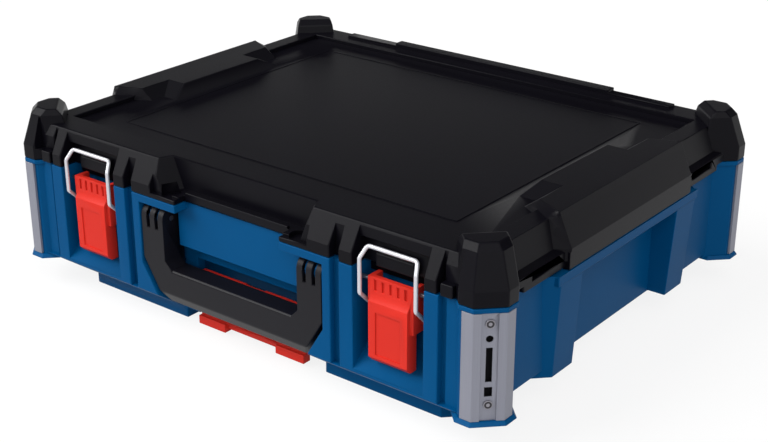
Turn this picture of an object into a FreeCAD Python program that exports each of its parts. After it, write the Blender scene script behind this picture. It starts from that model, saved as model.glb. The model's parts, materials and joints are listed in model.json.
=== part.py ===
import FreeCAD, Part
import os
import Sketcher
from types import SimpleNamespace

# A stackable hard-plastic tool case. X runs along the front, Y to the back and Z up from the floor.
# Every piece is drawn about the middle of its four corner columns, and its placement moves it so that
# the middle of the whole case, hinges included, stands over the origin.

# Driving dimensions in millimetres (angles in degrees)
SIZES = {
    # The case as a whole
    "case_width": 442,
    "case_depth": 351,
    "seam_level": 101,
    "seam_gap": 0.3,
    "overrun": 5,
    "running_gap": 0.05,
    "pin_seat_gap": 0.02,
    # Corner columns of the base
    "column_foot": 21.5,
    "column_chamfer": 15,
    "column_facet": 11,
    "column_slant": 13,
    "column_root": 8,
    "lip_flare": 2.2,
    "lip_height": 3,
    "lip_taper": 35,
    "rim_height": 3.2,
    # Walls of the base
    "panel_setback": 4.5,
    "bay_depth": 21,
    "side_setback": 16,
    "hull_level": 26,
    "hull_corner": 8,
    "plinth_level": 8,
    "plinth_front_setback": 24,
    "plinth_side_setback": 27,
    "wall": 4,
    "floor_thickness": 3.5,
    "cavity_step_level": 30,
    "cavity_low_inset": 19,
    "side_wall": 14,
    # Front and rear sections of the base
    "middle_half": 91,
    "groove_width": 7.5,
    "groove_depth": 5,
    "rib_width": 11,
    "strip_gap": 4,
    "strip_depth": 3,
    "sill_toe": 2,
    "sill_rise": 22,
    "section_end": 190,
    "rear_middle_half": 62,
    "rear_panel_end": 131,
    # Side grips of the base
    "grip_half_length": 64,
    "grip_block_length": 25,
    "grip_block_slant": 18.8,
    "grip_block_proud": 4.5,
    "grip_block_foot": 20,
    "grip_block_taper": 3.5,
    "grip_depth": 10,
    "grip_top_level": 88,
    "side_rim_proud": 9,
    "side_rim_level": 95,
    "side_rim_half": 94,
    # Feet
    "foot_start": 66,
    "foot_length": 97,
    "foot_width": 30,
    "foot_corner": 8,
    # Handle recess
    "recess_half": 84.3,
    "recess_depth": 24,
    "recess_top_level": 95,
    "recess_knee_level": 48.5,
    "recess_low_half": 70.5,
    "lock_recess_half": 53,
    "lock_recess_depth": 31.5,
    "lock_recess_top": 52,
    "notch_half": 96,
    "notch_depth": 35,
    "plate_half": 57.5,
    "plate_depth": 12,
    "plate_foot_level": 65,
    "plate_rim_half": 48,
    # Carry handle
    "handle_front_gap": 1,
    "handle_thickness": 20,
    "handle_half": 83,
    "arm_width": 21,
    "handle_pin_depth": 10,
    "handle_pin_level": 85,
    "handle_pin_radius": 2,
    "handle_pin_bite": 6,
    "knuckle_reach": 9,
    "grip_foot_level": 21,
    "grip_height": 28,
    "grip_edge": 4,
    "grip_top_edge": 1.4,
    "grip_toe_depth": 6,
    "grip_toe_height": 9,
    "handle_knee_level": 52,
    "handle_low_half": 64,
    "handle_inner_knee": 6,
    "fork_width": 3,
    "fork_depth": 7.5,
    "prong_gap": 0.3,
    "prong_reach": 6.8,
    # Latches
    "latch_place": 137.5,
    "latch_bay_half": 28,
    "latch_pin_depth": 11,
    "latch_pin_level": 91,
    "latch_pin_radius": 1.5,
    "latch_pin_bite": 8,
    "lever_foot_level": 37.5,
    "lever_step_level": 85,
    "lever_top_level": 96.8,
    "lever_half": 18,
    "lever_pad_half": 15.5,
    "lever_pad_depth": 0.5,
    "lever_head_depth": 3.5,
    "lever_head_thickness": 4,
    "lever_pad_thickness": 10,
    "lever_skin": 3,
    "lever_foot_bevel": 4,
    "lever_ear": 3.5,
    "lever_ear_round": 4,
    "lever_dent_half": 10,
    "lever_dent_foot": 44,
    "lever_dent_top": 74,
    "lever_dent_depth": 0.9,
    "lever_groove_pitch": 6,
    "lever_groove_width": 2.2,
    "lever_groove_foot": 87.5,
    "lever_groove_top": 95,
    "lever_groove_depth": 1.4,
    "bail_pin_depth": 16,
    "bail_pin_level": 69,
    "bail_wire_radius": 1.4,
    "bail_half": 22,
    "bail_leg_depth": 0.5,
    "bail_bar_depth": 5.5,
    "bail_kink_level": 84.5,
    "bail_lean_level": 108.5,
    "bail_bar_level": 116,
    "bail_corner": 2.6,
    "bail_bend": 3,
    "bail_end_half": 14.8,
    # Stacking lock
    "lock_half": 50,
    "lock_depth": 22.5,
    "lock_thickness": 4,
    "lock_foot_level": 2.5,
    "lock_top_level": 43.2,
    "lock_pin_depth": 27.5,
    "lock_pin_level": 40,
    "lock_pin_radius": 1.5,
    "lock_pin_bite": 4,
    "lock_barrel_radius": 3,
    "lock_tab_length": 26,
    "lock_tab_drop": 2.5,
    "lock_tab_reach": 3,
    "lock_tab_height": 6.5,
    "lock_barrel_gap_half": 9,
    "spring_wire_radius": 0.5,
    "spring_radius": 2.3,
    "spring_pitch": 1.9,
    "spring_length": 11.4,
    # Lid
    "skirt_level": 110,
    "lid_edge_level": 128.5,
    "lid_edge_setback": 9.5,
    "deck_level": 125,
    "deck_thickness": 3.5,
    "lid_beam_half": 187,
    "strut_groove_start": 174.8,
    "strut_groove_width": 2.7,
    "strut_groove_depth": 9,
    "strut_setback": 5.5,
    "lid_beam_width": 32,
    "lid_side_edge_setback": 6,
    "lid_side_half": 140,
    "lid_skirt_proud": 5.8,
    "lid_ledge_level": 108,
    "lap_gap": 0.4,
    "lap_foot": 97,
    "lap_half": 130,
    "lid_side_width": 20,
    "lid_cavity_half": 190,
    "post_straight_level": 112,
    "post_top_level": 134.5,
    "post_top_inset": 7.3,
    "post_crown_level": 139,
    "post_crown_inset": 11.5,
    "post_slant": 20,
    "post_top_slant": 11,
    "post_crown_slant": 5,
    "rail_level": 133,
    "rail_foot": 95.6,
    "rail_lap_half": 82,
    "rail_foot_end": 80.5,
    "rail_bend_setback": 9,
    "rail_bend_end": 88,
    "rail_root_start": 150,
    "rail_edge_setback": 8,
    "rail_edge_bend_setback": 16,
    "rail_edge_bend_end": 86,
    "rail_edge_start": 177,
    "rail_inner_end": 71.5,
    "rail_top_setback": 9.8,
    "rail_top_end": 81,
    "rail_top_bend_setback": 14,
    "rail_top_bend_end": 79,
    "rail_top_start": 183,
    "rail_shelf_start": 159,
    "rail_shelf_top_start": 165.8,
    "rail_shelf_end": 58.6,
    "rail_shelf_top_end": 42.4,
    "rear_rail_step": 105,
    "rear_rail_end": 158,
    "rear_rail_level": 132.5,
    "rear_rail_low_level": 130,
    "rear_rail_setback": 11,
    "rear_rail_width": 9,
    "keeper_half": 15,
    "keeper_depth": 7.6,
    "keeper_recess_level": 119,
    "keeper_recess_depth": 13.4,
    "keeper_foot_level": 102.3,
    "keeper_lip_level": 111,
    "keeper_top_level": 113.5,
    "keeper_slope": 3,
    "lid_bay_depth": 8.6,
    "lid_groove_depth": 7,
    "trough_floor_level": 106,
    "trough_depth": 19,
    "trough_back_half": 57,
    "trough_front_half": 66,
    "trough_end_slope": 11,
    "trough_shelf_half": 72,
    "trough_shelf_level": 104.6,
    "trough_shelf_depth": 4,
    "trough_pocket_place": 59,
    "trough_pocket_depth": 9,
    "trough_pocket_radius": 7,
    "trough_pocket_level": 103,
    "trough_lip_half": 47,
    "trough_lip_depth": 10,
    "trough_lip_thickness": 3,
    "trough_lip_level": 108,
    "side_slot_start": 91,
    "side_slot_length": 29,
    "side_slot_foot": 101.8,
    "side_slot_height": 5.2,
    "side_slot_depth": 5,
    "frame_line_half_width": 152,
    "frame_line_half_depth": 118,
    "frame_line_width": 1.6,
    "frame_line_height": 0.3,
    # Lid hinges
    "hinge_setout": 1,
    "knuckle_radius": 4,
    "hinge_pin_radius": 2,
    "hinge_start": 70,
    "base_knuckle_length": 14,
    "lid_knuckle_length": 31.4,
    "hinge_gap": 0.3,
    "hinge_web": 4,
    # Corner guards
    "trim_thickness": 2,
    "trim_flange": 8.5,
    "trim_channel_half": 5.2,
    "trim_channel_depth": 1.2,
    "trim_hole_radius": 2.3,
    "trim_hole_drop": 17.3,
    "trim_slot_half": 2,
    "trim_slot_drop": 23.3,
    "trim_slot_length": 23.3,
    "trim_square_half": 2.45,
    "trim_square_height": 6.4,
    "trim_square_drop": 50.2,
    "trim_well_half": 4,
    "trim_well_depth": 9,
    "trim_well_drop": 13.8,
    "trim_well_length": 44.5,
    "screw_drop": 7,
    "screw_rise": 11.3,
    "screw_radius": 1.5,
    "screw_head_radius": 3,
    "screw_head_height": 1.1,
    "screw_length": 12,
}
ROOT_TWO = 2 ** 0.5
FULL_TURN = 360
LEVER_GROOVE_PLACES = (-2, -1, 0, 1, 2)
LEFT_AND_RIGHT = {"left": -1, "right": 1}


class Measure:
    """A length that keeps its formula, so that sums of named sizes stay tied to the sheet."""

    def __init__(self, value, formula):
        self.value = value
        self.formula = formula

    def __add__(self, other):
        other = measure(other)
        return Measure(self.value + other.value, f"({self.formula} + {other.formula})")

    def __sub__(self, other):
        other = measure(other)
        return Measure(self.value - other.value, f"({self.formula} - {other.formula})")

    def __mul__(self, factor):
        return Measure(self.value * factor, f"({self.formula} * {factor!r})")

    def __truediv__(self, factor):
        return Measure(self.value / factor, f"({self.formula} / {factor!r})")

    def __neg__(self):
        return self * -1

    __rmul__ = __mul__


def measure(term):
    """A plain number as a measure of its own."""
    return term if isinstance(term, Measure) else Measure(term, repr(term))


doc = FreeCAD.newDocument("ToolCase")
sheet = doc.addObject("Spreadsheet::Sheet", "Sizes")
for row, (alias, value) in enumerate(SIZES.items(), start=1):
    sheet.set(f"A{row}", alias)
    sheet.set(f"B{row}", str(value))
    sheet.setAlias(f"B{row}", alias)
doc.recompute()
size = SimpleNamespace(**{alias: Measure(value, f"Sizes.{alias}") for alias, value in SIZES.items()})
pieces = []

# Places that several pieces share
half_width = size.case_width / 2
half_depth = size.case_depth / 2
column_x = half_width - size.lip_flare
column_y = half_depth - size.lip_flare
front = size.panel_setback - half_depth
rear = half_depth - size.panel_setback
bay = front + size.bay_depth
side = half_width - size.side_setback
cavity_half_width = side - size.side_wall
cavity_half_depth = rear - size.bay_depth - size.wall
notch = front + size.notch_depth
handle_front = front + size.handle_front_gap
handle_pin_y = front + size.handle_pin_depth
latch_pin_y = front + size.latch_pin_depth
bail_pin_y = front + size.bail_pin_depth
lock_pin_y = front + size.lock_pin_depth
hinge_y = half_depth + size.hinge_setout
lid_foot = size.seam_level + size.seam_gap
deck_under = size.deck_level - size.deck_thickness
trim_top = size.seam_level - size.rim_height
trim_foot = size.column_foot + size.lip_height
lid_bay = front + size.lid_bay_depth
keeper_back = front + size.keeper_recess_depth
centring = -(size.hinge_setout + size.knuckle_radius) / 2


def bind(thing, name, term):
    """Ties a property to its formula."""
    thing.setExpression(name, measure(term).formula)


def seat(piece, label, x=0, y=0, z=0):
    """Names a piece and ties its placement, centred with the rest of the case."""
    piece.Label = label
    bind(piece, "Placement.Base.x", x)
    bind(piece, "Placement.Base.y", centring + y)
    bind(piece, "Placement.Base.z", z)
    pieces.append(piece)


def new_body(label, x=0, y=0, z=0, turn=0):
    """A moulded or machined piece built up feature by feature."""
    body = doc.addObject("PartDesign::Body", label)
    body.Placement.Rotation = FreeCAD.Rotation(FreeCAD.Vector(0, 0, 1), turn)
    seat(body, label, x, y, z)
    return body


def box(x0, x1, y0, y1):
    """Corner points of a rectangle."""
    return [(x0, y0), (x1, y0), (x1, y1), (x0, y1)]


def both_ways(loop):
    """A loop and its mirror image across the middle of the sketch."""
    return [loop, [(-measure(x), y) for x, y in loop]]


def four_ways(loop):
    """A loop at all four corners."""
    return both_ways(loop) + [[(x, -measure(y)) for x, y in each] for each in both_ways(loop)]


def sketch(body, role, offset, loops=(), discs=()):
    """Closed loops of straight lines, and discs, on one of the body's own planes moved out by an offset."""
    drawing = body.newObject("Sketcher::SketchObject", "Outline")
    plane = next(feature for feature in body.Origin.OriginFeatures if feature.Role == role)
    drawing.AttachmentSupport = [(plane, "")]
    drawing.MapMode = "FlatFace"
    bind(drawing, "AttachmentOffset.Base.z", offset)
    elements = []
    joints = []
    places = []
    for loop in loops:
        first = len(elements)
        corners = [FreeCAD.Vector(measure(x).value, measure(y).value, 0) for x, y in loop]
        for index, (x, y) in enumerate(loop):
            after = (index + 1) % len(loop)
            elements.append(Part.LineSegment(corners[index], corners[after]))
            joints.append(Sketcher.Constraint("Coincident", first + index, 2, first + after, 1))
            places.append((first + index, 1, x, y))
    radii = []
    for x, y, radius in discs:
        centre = FreeCAD.Vector(measure(x).value, measure(y).value, 0)
        places.append((len(elements), 3, x, y))
        radii.append((len(elements), radius))
        elements.append(Part.Circle(centre, FreeCAD.Vector(0, 0, 1), radius.value))
    ties = []
    for element, spot, x, y in places:
        ties.append((Sketcher.Constraint("DistanceX", -1, 1, element, spot, measure(x).value), x))
        ties.append((Sketcher.Constraint("DistanceY", -1, 1, element, spot, measure(y).value), y))
    for element, radius in radii:
        ties.append((Sketcher.Constraint("Radius", element, radius.value), radius))
    drawing.addGeometry(elements, False)
    drawing.addConstraint(joints + [tie for tie, term in ties])
    for index, (tie, term) in enumerate(ties, start=len(joints)):
        bind(drawing, f"Constraints[{index}]", term)
    return drawing


def pad(body, role, offset, length, loops=(), discs=(), taper=None):
    """Raises the loops along the plane's normal: +Z from XY, -Y from XZ, +X from YZ."""
    block = body.newObject("PartDesign::Pad", "Block")
    block.Profile = sketch(body, role, offset, loops, discs)
    bind(block, "Length", length)
    if taper is not None:
        bind(block, "TaperAngle", taper)
    doc.recompute()


def pocket(body, role, offset, length, loops=(), discs=()):
    """Cuts the loops against the plane's normal, and makes sure that something was cut."""
    before = body.Shape.Volume
    hollow = body.newObject("PartDesign::Pocket", "Hollow")
    hollow.Profile = sketch(body, role, offset, loops, discs)
    bind(hollow, "Length", length)
    doc.recompute()
    if not body.Shape.Volume < before:
        raise RuntimeError(f"{hollow.Name} of {body.Label} cuts nothing")


def raise_up(body, low, high, loops=(), discs=(), taper=None):
    """A block between two levels."""
    pad(body, "XY_Plane", low, high - low, loops, discs, taper)


def sink(body, high, low, loops=(), discs=()):
    """A hollow between two levels, cut from above."""
    pocket(body, "XY_Plane", high, high - low, loops, discs)


def build_front(body, near, far, loops=(), discs=()):
    """A block drawn as seen from the front, between two depths."""
    pad(body, "XZ_Plane", -far, far - near, loops, discs)


def cut_front(body, near, far, loops=(), discs=()):
    """A hollow drawn as seen from the front, between two depths."""
    pocket(body, "XZ_Plane", -near, far - near, loops, discs)


def build_along(body, start, end, loops=(), discs=()):
    """A block drawn as seen from the right, carried along X between two places."""
    pad(body, "YZ_Plane", start, end - start, loops, discs)


def cut_along(body, start, end, loops=(), discs=()):
    """A hollow drawn as seen from the right, carried along X between two places."""
    pocket(body, "YZ_Plane", end, end - start, loops, discs)


def pin(label, start, end, y, z, radius):
    """A steel pin along X."""
    rod = doc.addObject("Part::Cylinder", label)
    rod.Placement.Rotation = FreeCAD.Rotation(FreeCAD.Vector(0, 1, 0), FULL_TURN / 4)
    bind(rod, "Radius", radius)
    bind(rod, "Height", end - start)
    seat(rod, label, start, y, z)


def column_outline(inset):
    """Plan of the front right corner column, its outer faces moved in by an inset."""
    x = column_x - inset
    y = inset - column_y
    chamfer = size.column_chamfer - inset * (2 - ROOT_TWO)
    facet_end_x = column_x - size.column_chamfer - size.column_facet
    facet_end_y = size.column_chamfer + size.column_facet - column_y
    return [
        (facet_end_x, y),
        (x - chamfer, y),
        (x, y + chamfer),
        (x, facet_end_y),
        (x - size.column_slant, facet_end_y + size.column_slant),
        (cavity_half_width, facet_end_y + size.column_slant),
        (cavity_half_width - size.column_root, bay),
        (facet_end_x - size.column_slant, bay),
        (facet_end_x - size.column_slant, y + size.column_slant),
    ]


# Base shell: a one-piece moulding in blue plastic
base = new_body("base_shell")
plinth_x = side - size.plinth_side_setback
plinth_y = rear - size.plinth_front_setback



def hull_outline(x, y):
    """Plan of the hull, with its four corners cut off."""
    cut_x = x - size.hull_corner
    cut_y = y - size.hull_corner
    return [
        (-cut_x, -y), (cut_x, -y), (x, -cut_y), (x, cut_y),
        (cut_x, y), (-cut_x, y), (-x, cut_y), (-x, -cut_y),
    ]


slope = base.newObject("PartDesign::AdditiveLoft", "Slope")
slope.Profile = sketch(base, "XY_Plane", size.plinth_level, [hull_outline(plinth_x, plinth_y)])
slope.Sections = [sketch(base, "XY_Plane", size.hull_level, [hull_outline(side, rear)])]
slope.Ruled = True
raise_up(base, size.hull_level, size.seam_level, [box(-side, side, bay, -bay)])

# Ribs and panels of the front, with a groove beside the middle panel, and latch bays over sloping sills
groove = front + size.groove_depth
groove_end = size.middle_half + size.groove_width
rib_end = groove_end + size.rib_width
outer_rib = size.latch_place + size.latch_bay_half
outer_rib_end = outer_rib + size.rib_width
strip_start = outer_rib_end + size.strip_gap
front_middle = [
    (-rib_end, bay), (-rib_end, front), (-groove_end, front), (-groove_end, groove),
    (-size.middle_half, groove), (-size.middle_half, front), (size.middle_half, front),
    (size.middle_half, groove), (groove_end, groove), (groove_end, front), (rib_end, front), (rib_end, bay),
]
front_outer = [
    (outer_rib, bay), (outer_rib, front), (outer_rib_end, front), (outer_rib_end, groove),
    (strip_start, groove), (strip_start, front + size.strip_depth),
    (size.section_end, front + size.strip_depth), (size.section_end, bay),
]
raise_up(base, size.hull_level, size.seam_level, [front_middle] + both_ways(front_outer))
sill = [
    (bay + size.wall / 2, size.hull_level), (front, size.hull_level), (front, size.hull_level + size.sill_toe),
    (bay + size.wall / 2, size.hull_level + size.sill_rise),
]
for start, end in ((rib_end, outer_rib), (-outer_rib, -rib_end)):
    build_along(base, start, end, [sill])

# Rear panels, split by the same grooves
rear_groove = -groove
rear_split = size.rear_middle_half + size.groove_width
rear_outer = size.rear_panel_end + size.groove_width
rear_half = [
    (0, -bay), (0, rear), (size.rear_middle_half, rear), (size.rear_middle_half, rear_groove),
    (rear_split, rear_groove), (rear_split, rear), (size.rear_panel_end, rear),
    (size.rear_panel_end, rear_groove), (rear_outer, rear_groove), (rear_outer, rear),
    (size.section_end, rear), (size.section_end, -bay),
]
for loop in both_ways(rear_half):
    raise_up(base, size.hull_level, size.seam_level, [loop])

# Corner columns: a flared lip at the foot, a set-back shaft for the metal guard and a rim under the lid
raise_up(base, size.column_foot, trim_top, four_ways(column_outline(size.trim_thickness)))
raise_up(base, trim_top, size.seam_level, four_ways(column_outline(measure(0))))
raise_up(base, size.column_foot, trim_foot, four_ways(column_outline(-size.lip_flare)), taper=-size.lip_taper)

# Side grips: two drafted blocks and a rim leave a finger recess on each side
block_x = side + size.grip_block_proud
block_end = size.grip_half_length + size.grip_block_length
block = [
    (cavity_half_width, size.grip_half_length), (block_x, size.grip_half_length), (block_x, block_end),
    (cavity_half_width, block_end + size.grip_block_slant),
]
raise_up(base, size.grip_block_foot, size.side_rim_level, four_ways(block), taper=size.grip_block_taper)
rim_x = side + size.side_rim_proud
side_rim = box(cavity_half_width, rim_x, -size.side_rim_half, size.side_rim_half)
raise_up(base, size.grip_top_level, size.side_rim_level, both_ways(side_rim))
grip_recess = box(side - size.grip_depth, rim_x + size.overrun, -size.grip_half_length, size.grip_half_length)
sink(base, size.grip_top_level, -size.overrun, both_ways(grip_recess))

# Feet under the plinth
foot_end = size.foot_start + size.foot_length
foot = [
    (size.foot_start, -plinth_y), (foot_end, -plinth_y),
    (foot_end + size.foot_corner, size.foot_corner - plinth_y),
    (foot_end + size.foot_corner, size.foot_width - plinth_y), (size.foot_start, size.foot_width - plinth_y),
]
raise_up(base, measure(0), size.plinth_level, four_ways(foot))

# Inside of the tub, stepped in over the sloping underside and notched behind the handle recess
tub = [
    (-cavity_half_width, -cavity_half_depth), (-size.notch_half, -cavity_half_depth),
    (-size.notch_half, notch), (size.notch_half, notch), (size.notch_half, -cavity_half_depth),
    (cavity_half_width, -cavity_half_depth), (cavity_half_width, cavity_half_depth),
    (-cavity_half_width, cavity_half_depth),
]
sink(base, size.seam_level + size.overrun, size.cavity_step_level, [tub])
low_x = cavity_half_width - size.cavity_low_inset
low_y = plinth_y - size.wall
tub_floor = size.plinth_level + size.floor_thickness
sink(base, size.cavity_step_level + size.overrun, tub_floor, [box(-low_x, low_x, notch, low_y)])

# Handle recess, open at the foot, with a deeper pocket for the stacking lock
recess = [
    (-size.recess_half, size.recess_top_level), (-size.recess_half, size.recess_knee_level),
    (-size.recess_low_half, size.hull_level), (-size.recess_low_half, -size.overrun),
    (size.recess_low_half, -size.overrun), (size.recess_low_half, size.hull_level),
    (size.recess_half, size.recess_knee_level), (size.recess_half, size.recess_top_level),
]
recess_back = front + size.recess_depth
cut_front(base, front - size.overrun, recess_back, [recess])
lock_recess = box(-size.lock_recess_half, size.lock_recess_half, -size.overrun, size.lock_recess_top)
cut_front(base, front - size.overrun, front + size.lock_recess_depth, [lock_recess])
plate_front = front + size.plate_depth
rim_cut = box(
    -size.plate_rim_half, size.plate_rim_half,
    size.recess_top_level - size.overrun, size.seam_level + size.overrun,
)
cut_front(base, front - size.overrun, plate_front, [rim_cut])
plate = box(-size.plate_half, size.plate_half, size.plate_foot_level, size.seam_level)
build_front(base, plate_front, recess_back + size.overrun, [plate])

# Prongs that carry the handle's pins, two in each forked arm
finger = (size.arm_width - size.fork_width * 2) / 3
arm_inner = size.handle_half - size.arm_width
fork_starts = [arm_inner + finger, arm_inner + finger * 2 + size.fork_width]
prong_width = size.fork_width - size.prong_gap * 2
prong_web = box(
    handle_pin_y, recess_back + size.overrun,
    size.handle_pin_level - size.prong_reach, size.handle_pin_level + size.prong_reach,
)
for start in fork_starts:
    for near in (start + size.prong_gap, -(start + size.fork_width - size.prong_gap)):
        build_along(base, near, near + prong_width, [prong_web])
        nose = (handle_pin_y, size.handle_pin_level, size.prong_reach)
        build_along(base, near, near + prong_width, discs=[nose])

# Knuckles of the rear hinges and the bores for every pin
hinge_pin_end = size.hinge_start + size.base_knuckle_length * 2 + size.lid_knuckle_length + size.hinge_gap * 2
knuckle_starts = [size.hinge_start, hinge_pin_end - size.base_knuckle_length]
knuckle_web = box(-groove, hinge_y, size.seam_level - size.hinge_web, size.seam_level)
for start in knuckle_starts:
    for near in (start, -(start + size.base_knuckle_length)):
        build_along(base, near, near + size.base_knuckle_length, [knuckle_web])
        barrel = (hinge_y, size.seam_level, size.knuckle_radius)
        build_along(base, near, near + size.base_knuckle_length, discs=[barrel])
latch_pin_start = rib_end - size.latch_pin_bite
latch_pin_end = outer_rib + size.latch_pin_bite
handle_pin_start = arm_inner + size.prong_gap
handle_pin_end = size.recess_half + size.handle_pin_bite
lock_pin_end = size.lock_recess_half + size.lock_pin_bite
pin_bores = [
    (latch_pin_start, latch_pin_end, latch_pin_y, size.latch_pin_level, size.latch_pin_radius),
    (handle_pin_start, handle_pin_end, handle_pin_y, size.handle_pin_level, size.handle_pin_radius),
    (size.hinge_start, hinge_pin_end, hinge_y, size.seam_level, size.hinge_pin_radius),
    (size.lock_half, lock_pin_end, lock_pin_y, size.lock_pin_level, size.lock_pin_radius),
]
for start, end, y, z, radius in pin_bores:
    bore = (y, z, radius + size.pin_seat_gap)
    cut_along(base, start, end, discs=[bore])
    cut_along(base, -end, -start, discs=[bore])

# Dark wells behind the openings of the corner guards
well_x = column_x - size.column_chamfer / 2
well_y = column_y - size.column_chamfer / 2
across = size.trim_well_half / ROOT_TWO
inward = size.trim_well_depth / ROOT_TWO
well = [
    (well_x - across + size.overrun, -well_y - across - size.overrun),
    (well_x + across + size.overrun, -well_y + across - size.overrun),
    (well_x + across - inward, -well_y + across + inward),
    (well_x - across - inward, -well_y - across + inward),
]
well_top = trim_top - size.trim_well_drop
sink(base, well_top, well_top - size.trim_well_length, four_ways(well))

# Lid shell: a one-piece moulding in black plastic
lid = new_body("lid_shell")
edge = front + size.lid_edge_setback
beam_back = front + size.lid_beam_width
beam = [
    (front, lid_foot), (front, size.skirt_level), (edge, size.lid_edge_level),
    (beam_back, size.lid_edge_level), (beam_back, lid_foot),
]
deck_y = -bay
raise_up(lid, deck_under, size.deck_level, [box(-size.lid_cavity_half, size.lid_cavity_half, bay, deck_y)])
build_along(lid, -size.lid_beam_half, size.lid_beam_half, [beam])
build_along(lid, -size.lid_beam_half, size.lid_beam_half, [[(-y, z) for y, z in beam]])
end_wall = box(edge, beam_back, lid_foot, size.lid_edge_level)
build_along(lid, -size.lid_cavity_half, size.lid_cavity_half, [end_wall])
build_along(lid, -size.lid_cavity_half, size.lid_cavity_half, [[(-y, z) for y, z in end_wall]])

# Side walls of the lid, whose skirts lap over the walls of the base
side_edge = side - size.lid_side_edge_setback
skirt_x = side + size.lid_skirt_proud
side_beam = [
    (skirt_x, lid_foot), (skirt_x, size.lid_ledge_level), (side, size.skirt_level),
    (side_edge, size.lid_edge_level), (side - size.lid_side_width, size.lid_edge_level),
    (side - size.lid_side_width, lid_foot),
]
build_front(lid, -size.lid_side_half, size.lid_side_half, both_ways(side_beam))
lap = box(side + size.lap_gap, skirt_x, size.lap_foot, size.lid_ledge_level)
build_front(lid, -size.lap_half, size.lap_half, both_ways(lap))

# Corner posts: upright at the foot, drawn in above and crowned


def post_outline(inset, slant):
    """Plan of the front right corner post, its outer faces moved in by an inset, and the reach of its back."""
    x = column_x - inset
    y = inset - column_y
    chamfer = size.column_chamfer - inset * (2 - ROOT_TWO)
    facet_end = size.column_chamfer + size.column_facet - inset * (2 - ROOT_TWO)
    return [
        (x - facet_end, y), (x - chamfer, y), (x, y + chamfer), (x, y + facet_end),
        (x - slant, y + facet_end + slant),
        (x - facet_end - slant, y + slant),
    ]


def build_stages(body, copies, levels):
    """Straight-sided stages from each level's outline to the next, one set for each copy of the outline."""
    for (low, low_outline), (high, high_outline) in zip(levels, levels[1:]):
        for low_loop, high_loop in zip(copies(low_outline), copies(high_outline)):
            stage = body.newObject("PartDesign::AdditiveLoft", "Stage")
            stage.Profile = sketch(body, "XY_Plane", low, [low_loop])
            stage.Sections = [sketch(body, "XY_Plane", high, [high_loop])]
            stage.Ruled = True
    doc.recompute()


build_stages(lid, four_ways, [
    (lid_foot, post_outline(measure(0), size.post_slant)),
    (size.post_straight_level, post_outline(measure(0), size.post_slant)),
    (size.post_top_level, post_outline(size.post_top_inset, size.post_top_slant)),
    (size.post_crown_level, post_outline(size.post_crown_inset, size.post_crown_slant)),
])

# Raised side rails with bevelled ends, and the wider shelf along the middle of each rail


def rail_outline(inner_x, inner_y, bend_x, bend_y, outer_x, outer_y):
    """Plan of the right rail from three corners of its front end, the rear end mirrored."""
    end = [(inner_x, -inner_y), (bend_x, -bend_y), (outer_x, -outer_y)]
    return end + [(x, -y) for x, y in reversed(end)]


rail_foot_outline = rail_outline(
    size.rail_root_start, size.rail_inner_end, rim_x - size.rail_bend_setback, size.rail_bend_end,
    rim_x, size.rail_foot_end,
)
rail_edge_outline = rail_outline(
    size.rail_edge_start, size.rail_inner_end, rim_x - size.rail_edge_bend_setback, size.rail_edge_bend_end,
    rim_x - size.rail_edge_setback, size.rail_top_end,
)
rail_top_outline = rail_outline(
    size.rail_top_start, size.rail_inner_end, rim_x - size.rail_top_bend_setback, size.rail_top_bend_end,
    rim_x - size.rail_top_setback, size.rail_top_end,
)
build_stages(lid, both_ways, [
    (lid_foot, rail_foot_outline), (size.skirt_level, rail_foot_outline),
    (size.lid_edge_level, rail_edge_outline), (size.rail_level, rail_top_outline),
])
rail_lap = box(side + size.lap_gap, rim_x, size.rail_foot, size.lid_ledge_level)
build_front(lid, -size.rail_lap_half, size.rail_lap_half, both_ways(rail_lap))
shelf_foot = box(size.rail_shelf_start, side_edge, -size.rail_shelf_end, size.rail_shelf_end)
shelf_top = box(size.rail_shelf_top_start, side_edge, -size.rail_shelf_top_end, size.rail_shelf_top_end)
build_stages(lid, both_ways, [(size.deck_level, shelf_foot), (size.rail_level, shelf_top)])

# Rear rail on the back edge, higher along its middle
rail_front = rear - size.rear_rail_setback - size.rear_rail_width
rail_back = rear - size.rear_rail_setback
high_rail = box(rail_front, rail_back, size.lid_edge_level, size.rear_rail_level)
low_rail = box(rail_front, rail_back, size.lid_edge_level, size.rear_rail_low_level)
build_along(lid, -size.rear_rail_end, size.rear_rail_end, [low_rail])
build_along(lid, -size.rear_rail_step, size.rear_rail_step, [high_rail])

# Inside of the lid
lid_room = box(-size.lid_cavity_half, size.lid_cavity_half, -cavity_half_depth, cavity_half_depth)
sink(lid, deck_under, lid_foot - size.overrun, [lid_room])

# Latch bays with their keepers, and the grooves that carry on from the base
bay_start = size.latch_place - size.latch_bay_half
latch_bay = box(bay_start, outer_rib, front - size.overrun, lid_bay)
above = size.lid_edge_level + size.overrun
sink(lid, above, lid_foot - size.overrun, both_ways(latch_bay))
lid_groove = box(size.middle_half, groove_end, front - size.overrun, front + size.lid_groove_depth)
sink(lid, above, lid_foot - size.overrun, both_ways(lid_groove))
strut_groove = box(
    size.strut_groove_start, size.strut_groove_start + size.strut_groove_width,
    front - size.overrun, front + size.strut_groove_depth,
)
sink(lid, above, lid_foot - size.overrun, both_ways(strut_groove))
strut_end = box(
    size.strut_groove_start, size.lid_beam_half + size.overrun,
    front - size.overrun, front + size.strut_setback,
)
sink(lid, above, size.skirt_level, both_ways(strut_end))
keeper_recess = box(bay_start, outer_rib, front - size.overrun, keeper_back)
sink(lid, size.keeper_recess_level, lid_foot - size.overrun, both_ways(keeper_recess))
keeper_front = front + size.keeper_depth
keeper = [
    (keeper_back + size.wall / 2, size.keeper_foot_level), (keeper_front, size.keeper_foot_level),
    (keeper_front, size.keeper_lip_level), (keeper_front + size.keeper_slope, size.keeper_top_level),
    (keeper_back + size.wall / 2, size.keeper_top_level),
]
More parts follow.
